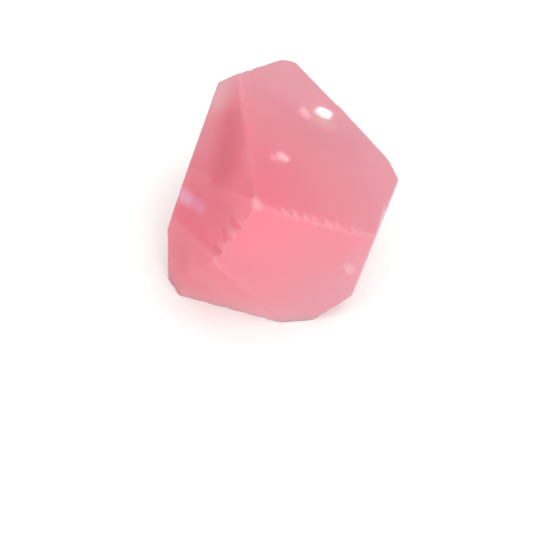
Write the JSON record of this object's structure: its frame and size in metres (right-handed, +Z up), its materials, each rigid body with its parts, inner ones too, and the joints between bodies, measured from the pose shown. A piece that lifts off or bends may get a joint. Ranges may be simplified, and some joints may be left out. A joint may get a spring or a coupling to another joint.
{
  "type": "padparadscha sapphire crystal",
  "caption": "Rough gem crystal: three large flat faces meeting at a front corner, stepped edges, small bevel faces and a flat broken base to rest on.",
  "frame": {"origin": "middle of the bounding box's underside, on the flat base", "axes": "+Z up from the base, -Y towards the large upright front face, +X to that face's right-hand side"},
  "size_m": [0.0096, 0.0092, 0.0075],
  "materials": {
    "sapphire": "see-through pink-orange crystal, slightly milky, with glossy natural growth faces"
  },
  "bodies": {
    "root": {"sapphire_crystal": "sapphire"}
  },
  "joints": []
}
